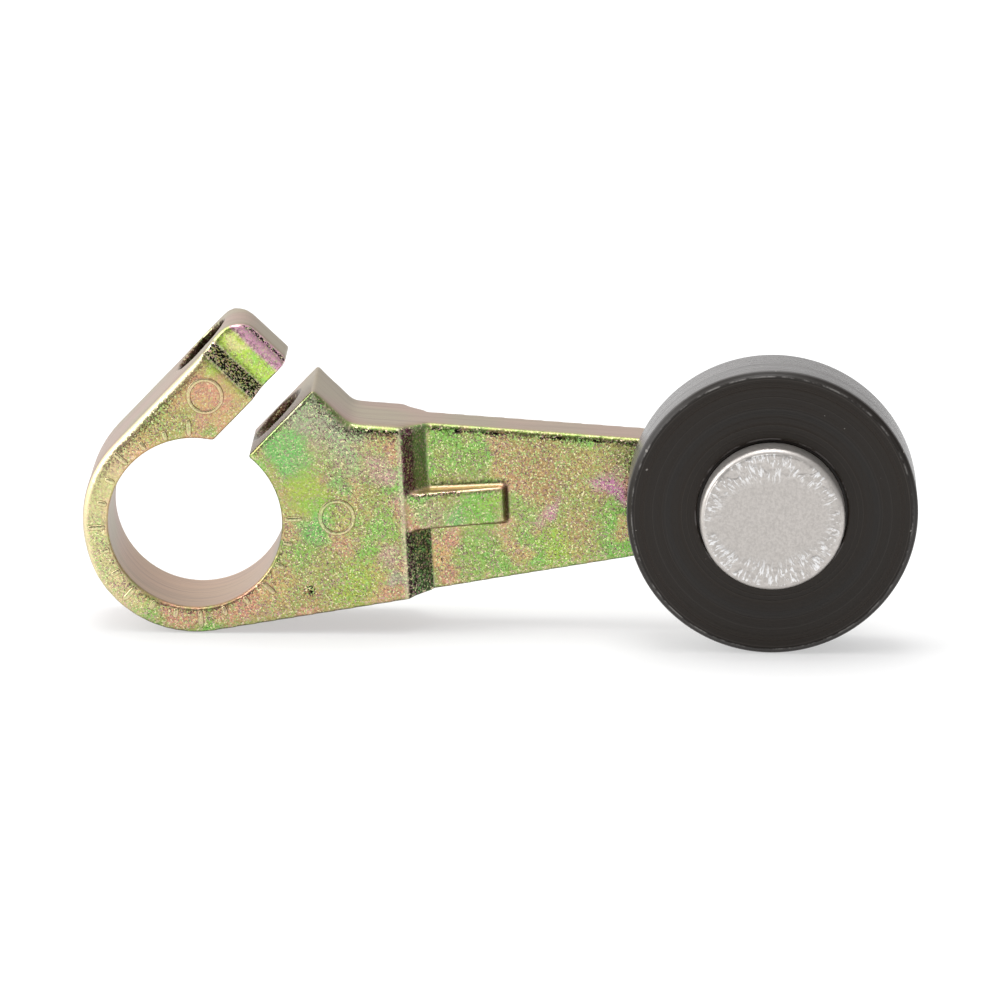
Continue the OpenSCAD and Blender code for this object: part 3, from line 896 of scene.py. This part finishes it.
def press_pit(mesh, depth):
    """Sinks a small casting pit into the hub face: depth times a bell of the distance."""
    points = vertex_rows(mesh)
    gap = np.hypot((points[:, 0] - PIT_X * MM) / PIT_STRETCH, points[:, 2] - PIT_Z * MM)
    on_face = points[:, 1] < -HUB_FACE + 0.3 * MM
    points[:, 1] += depth * np.exp(-(gap / (0.22 * MM)) ** 2) * on_face
    mesh.vertices.foreach_set("co", points.ravel())


class LEVER_OT_casting(bpy.types.Operator):
    """Make the lever casting with its rounded cast edges"""

    bl_idname = "lever.casting"
    bl_label = "Casting"

    def execute(self, context):
        s = context.scene.casting
        skin = cast_skin(frame["nodes"]["lever"], s.grain, s.wear)
        skin.name = "lever_casting"
        press_pit(skin, s.pit_depth)
        skin.shade_smooth()
        skin.update()
        lay_paint(skin, s)
        skin.materials.clear()
        skin.materials.append(chromate_material(s))
        piece = bpy.data.objects.new("lever_casting", skin)
        context.scene.collection.objects.link(piece)
        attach(piece, "arm")
        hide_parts("lever")
        return {"FINISHED"}


def ridge(start, end, width, rise):
    """A raised bar with a round back: half ellipses across it, shrinking to nothing at both ends.

    Across, the point at angle q stands at (cos q * width / 2, sin q * rise); along, both are
    multiplied by sqrt(1 - w^4), with w from -1 to 1."""
    rows, columns = 23, 15
    q = np.linspace(-0.25 * math.pi, 1.25 * math.pi, columns)[None, :]
    w = np.linspace(-1, 1, rows)[:, None]
    thin = np.sqrt(np.clip(1 - w ** 4, 0, 1))
    way = np.asarray(end) - np.asarray(start)
    length = np.hypot(*way)
    way = way / length
    t, side, up = w * length / 2, thin * np.cos(q) * width / 2, thin * np.sin(q) * rise
    middle = (np.asarray(start) + np.asarray(end)) / 2
    x = middle[0] + t * way[0] - side * way[1]
    z = middle[1] + t * way[1] + side * way[0]
    points = np.stack([x + 0 * q, -HUB_FACE - up, z + 0 * q], -1).reshape(-1, 3)
    return points, grid_faces(rows, columns, False, True)


def ring_ridge(centre, radius, width, rise):
    """A raised ring: the half ellipse of a bar carried round a circle."""
    rows, columns = 72, 13
    q = np.linspace(-0.25 * math.pi, 1.25 * math.pi, columns)[None, :]
    t = (np.arange(rows) * TURN / rows)[:, None]
    r = radius + np.cos(q) * width / 2
    up = np.sin(q) * rise + 0 * t
    x, z = centre[0] + r * np.cos(t), centre[1] + r * np.sin(t)
    points = np.stack([x, -HUB_FACE - up, z], -1).reshape(-1, 3)
    return points, grid_faces(rows, columns, True, True)


class LEVER_OT_marks(bpy.types.Operator):
    """Raise the index marks round the shaft bore and the two ejector rings"""

    bl_idname = "lever.marks"
    bl_label = "Raised marks"

    def execute(self, context):
        s = context.scene.marks
        shapes = []
        inner = BORE_R + MARK_CLEAR
        for degrees in range(90, 361, MARK_STEP):
            turn = math.radians(degrees)
            reach = inner + (s.long if degrees % LONG_MARK_STEP == 0 else s.length)
            way = np.array([math.cos(turn), math.sin(turn)])
            shapes.append(ridge(inner * way, reach * way, s.width, s.rise))
        for centre in EJECTOR_RINGS:
            shapes.append(ring_ridge(np.array(centre) * MM, s.ring, s.width * 0.8, s.rise * 0.7))
        starts = np.cumsum([0] + [len(points) for points, _ in shapes[:-1]])
        points = np.vstack([points for points, _ in shapes])
        faces = np.vstack([quads + start for (_, quads), start in zip(shapes, starts)])
        material = bpy.data.materials["chromate"]
        piece = new_piece("raised_marks", points, faces, "arm", material)
        clean(piece.data)
        piece.data.update()
        lay_paint(piece.data, context.scene.casting, raised=True)
        return {"FINISHED"}


class LEVER_OT_roller(bpy.types.Operator):
    """Turn the roller: rim, chamfers, recess for the pin head and bore"""

    bl_idname = "lever.roller"
    bl_label = "Roller"

    def execute(self, context):
        s = context.scene.roller
        front, back, r = ROLLER_LOW.y, ROLLER_HIGH.y, ROLLER_R
        middle, soft = (front + back) / 2, 0.05 * MM
        outline = [
            (s.bore, middle), (s.bore, back), (r - s.chamfer, back), (r, back - s.chamfer),
            (r, front + s.chamfer), (r - s.chamfer, front), (s.recess, front),
            (s.recess, front + s.recess_depth), (s.bore, front + s.recess_depth), (s.bore, middle),
        ]
        radii = [soft, soft, soft, soft, soft, 2.4 * soft, soft / 2, soft]
        profile = densify(rounded(outline, radii), 0.08 * MM)[:-1]
        # Turning marks: each ring of the two faces is cut its own small amount deeper.
        cut = np.random.default_rng(11).uniform(0, s.groove, len(profile))
        on_front = np.abs(profile[:, 1] - front) < 1e-7
        on_back = np.abs(profile[:, 1] - back) < 1e-7
        profile[:, 1] += cut * on_front - cut * on_back
        points, faces = lathe(profile, SEGMENTS, True)
        piece = new_piece("roller_wheel", points, faces, "roller", turned_plastic(s))
        clean(piece.data)
        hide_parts("roller")
        return {"FINISHED"}


class LEVER_OT_pin(bpy.types.Operator):
    """Turn the rivet pin: head, shoulder, tenon and riveted tail"""

    bl_idname = "lever.pin"
    bl_label = "Rivet pin"

    def execute(self, context):
        s = context.scene.pin
        top, tail = PIN_LOW.y, PIN_HIGH.y
        under = ROLLER_LOW.y + 0.20 * MM
        thrust = ROLLER_HIGH.y + 0.10 * MM
        arm_back = tail - 0.80 * MM
        shoulder, tenon, tail_r = 3.0 * MM, 2.0 * MM, 3.0 * MM
        outline = [
            (0, top), (PIN_R, top), (PIN_R, under), (shoulder, under), (shoulder, thrust),
            (tenon, thrust), (tenon, arm_back), (tail_r, arm_back), (tail_r, tail), (0, tail),
        ]
        radii = [s.rim, 0.08 * MM, 0.05 * MM, 0, 0, 0, 0.1 * MM, 0.45 * MM]
        profile = densify(rounded(outline, radii, 10), 0.12 * MM)
        on_head = np.abs(profile[:, 1] - top) < 1e-7
        profile[:, 1] += s.dimple * np.exp(-(profile[:, 0] / (0.45 * MM)) ** 2) * on_head
        points, faces = lathe(profile, SEGMENTS, False)
        piece = new_piece("rivet_pin", points, faces, "arm", scuffed_steel(s))
        clean(piece.data)
        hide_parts("roller_pin")
        return {"FINISHED"}


# ---------------------------------------------------------------- stage


def area_light(name, place, aim, width, height, power):
    """A soft box at a place, turned to look at a point."""
    data = bpy.data.lights.new(name, "AREA")
    data.shape = "RECTANGLE"
    data.size, data.size_y = width, height
    data.energy = power
    lamp = bpy.data.objects.new(name, data)
    lamp.location = place
    lamp.rotation_euler = (Vector(aim) - Vector(place)).to_track_quat("-Z", "Y").to_euler()
    bpy.context.scene.collection.objects.link(lamp)


def place_camera(s, middle):
    """The camera looks down at the lever, level with the ground that the lever stands on."""
    turn, lift = math.radians(s.azimuth), math.radians(s.elevation)
    back = Vector((math.sin(turn) * math.cos(lift), -math.cos(turn) * math.cos(lift), math.sin(lift)))
    right = Vector((0, 0, 1)).cross(back).normalized()
    up = back.cross(right)
    basis = Matrix((right, up, back)).transposed().to_4x4()
    camera = bpy.data.objects.new("camera", bpy.data.cameras.new("camera"))
    level = Matrix.Rotation(-STAND_TILT, 4, "Z")
    camera.matrix_world = Matrix.Translation(middle + back * s.distance) @ basis @ level
    camera.data.lens = s.lens
    camera.data.sensor_width = 36
    camera.data.clip_start = 0.01
    bpy.context.scene.collection.objects.link(camera)
    bpy.context.scene.camera = camera


def floor_material(s):
    """Matte white ground with a trace of its own light, so that shadows on it stay pale."""
    material, n, shader, place = start_material("ground")
    speck = n.noise(place.outputs["Object"], 40, 2)
    colour = n.mix(speck, tuple(s.floor), tuple(0.985 * c for c in s.floor))
    n.tree.links.new(colour, shader.inputs["Base Color"])
    shader.inputs["Roughness"].default_value = 0.9
    shader.inputs["Specular IOR Level"].default_value = 0.1
    shader.inputs["Emission Color"].default_value = (1, 1, 1, 1)
    shader.inputs["Emission Strength"].default_value = s.floor_glow
    return material


def studio_world():
    """A studio as light from every way: bright on the left, behind and overhead, dim on the
    right, and dark in front, where the room is, but for one pale panel to the right."""
    world = bpy.data.worlds.new("studio")
    world.use_nodes = True
    n = Nodes(world.node_tree)
    way = n.add("ShaderNodeTexCoord").outputs["Generated"]
    split = n.add("ShaderNodeSeparateXYZ", {0: way}).outputs
    sides = n.remap(split["X"], -0.9, 0.7, 1.05, 0.30)
    behind = n.remap(split["Y"], 0.0, 0.8, 0.0, 0.55)
    room = n.maths("ADD", sides, behind)
    front = n.remap(split["Y"], -0.25, -0.75, 1.0, 0.08)
    room = n.maths("MULTIPLY", room, front)
    room = n.maths("ADD", room, n.remap(split["Z"], 0.55, 0.85, 0.0, 0.55))
    panel = n.vector("DOT_PRODUCT", {0: way, 1: (0.58, -0.75, 0.32)}, "Value")
    room = n.maths("ADD", room, n.remap(panel, 0.90, 0.97, 0.0, 0.75))
    seen = n.add("ShaderNodeLightPath").outputs["Is Camera Ray"]
    glow = n.maths("MAXIMUM", n.maths("MULTIPLY", seen, 1.05), room)
    light = n.add("ShaderNodeBackground", {"Color": (1, 1, 1), "Strength": glow})
    out = n.add("ShaderNodeOutputWorld")
    n.tree.links.new(light.outputs[0], out.inputs[0])
    return world


class LEVER_OT_stage(bpy.types.Operator):
    """Set up the ground, the lights, the world and the camera"""

    bl_idname = "lever.stage"
    bl_label = "Stage"

    def execute(self, context):
        s = context.scene.stage
        scene = context.scene
        up = Vector((math.sin(STAND_TILT), 0, math.cos(STAND_TILT)))
        ground = -(HUB_R + 0.02 * MM) * up
        reach = 3.0
        mesh = bpy.data.meshes.new("ground")
        along = Vector((math.cos(STAND_TILT), 0, -math.sin(STAND_TILT)))
        corners = [ground + along * x + Vector((0, y, 0)) for x, y in
                   ((-reach, -reach), (reach, -reach), (reach, reach), (-reach, reach))]
        mesh.from_pydata(corners, [], [(0, 1, 2, 3)])
        mesh.materials.append(floor_material(s))
        floor = bpy.data.objects.new("ground", mesh)
        scene.collection.objects.link(floor)

        middle = Vector(((CAD_BOX[0][0] + CAD_BOX[1][0]) / 2, 0, s.aim_height))
        place_camera(s, middle)
        # Each lamp's place and aim, then its width, height and power in watts.
        area_light("key", (0.02, 0.09, 0.58), middle, 0.30, 0.30, 1.5)
        area_light("overhead", (0.06, -0.14, 0.60), middle, 0.34, 0.20, 0.35)
        area_light("left", (-0.46, -0.10, 0.26), middle, 0.26, 0.36, 1.3)
        scene.world = studio_world()
        scene.view_settings.view_transform = "Standard"
        return {"FINISHED"}


# ---------------------------------------------------------------- panel and run


class LEVER_PT_panel(bpy.types.Panel):
    """Lists the pieces of the roller lever"""

    bl_label = "Roller lever"
    bl_idname = "LEVER_PT_panel"
    bl_space_type = "VIEW_3D"
    bl_region_type = "UI"
    bl_category = "Lever"

    def draw(self, context):
        for name in STEPS:
            self.layout.operator(f"lever.{name}")


SETTINGS = {
    "casting": CastingSettings, "marks": MarkSettings, "roller": RollerSettings,
    "pin": PinSettings, "stage": StageSettings,
}
STEPS = ("stage", "casting", "marks", "roller", "pin")
CLASSES = (
    *SETTINGS.values(),
    LEVER_OT_casting, LEVER_OT_marks, LEVER_OT_roller, LEVER_OT_pin, LEVER_OT_stage,
    LEVER_PT_panel,
)


def register():
    """Registers the classes and hangs their settings on the scene."""
    for cls in CLASSES:
        bpy.utils.register_class(cls)
    for name, cls in SETTINGS.items():
        setattr(bpy.types.Scene, name, bpy.props.PointerProperty(type=cls))


def unregister():
    """Takes the settings and classes out again."""
    for name in SETTINGS:
        delattr(bpy.types.Scene, name)
    for cls in reversed(CLASSES):
        bpy.utils.unregister_class(cls)


def main():
    """Builds every piece and the stage."""
    for item in list(bpy.data.objects):
        if item.name in ("Cube", "Light", "Camera"):
            bpy.data.objects.remove(item)
    register()
    for name in STEPS:
        getattr(bpy.ops.lever, name)()


if __name__ == "__main__":
    main()
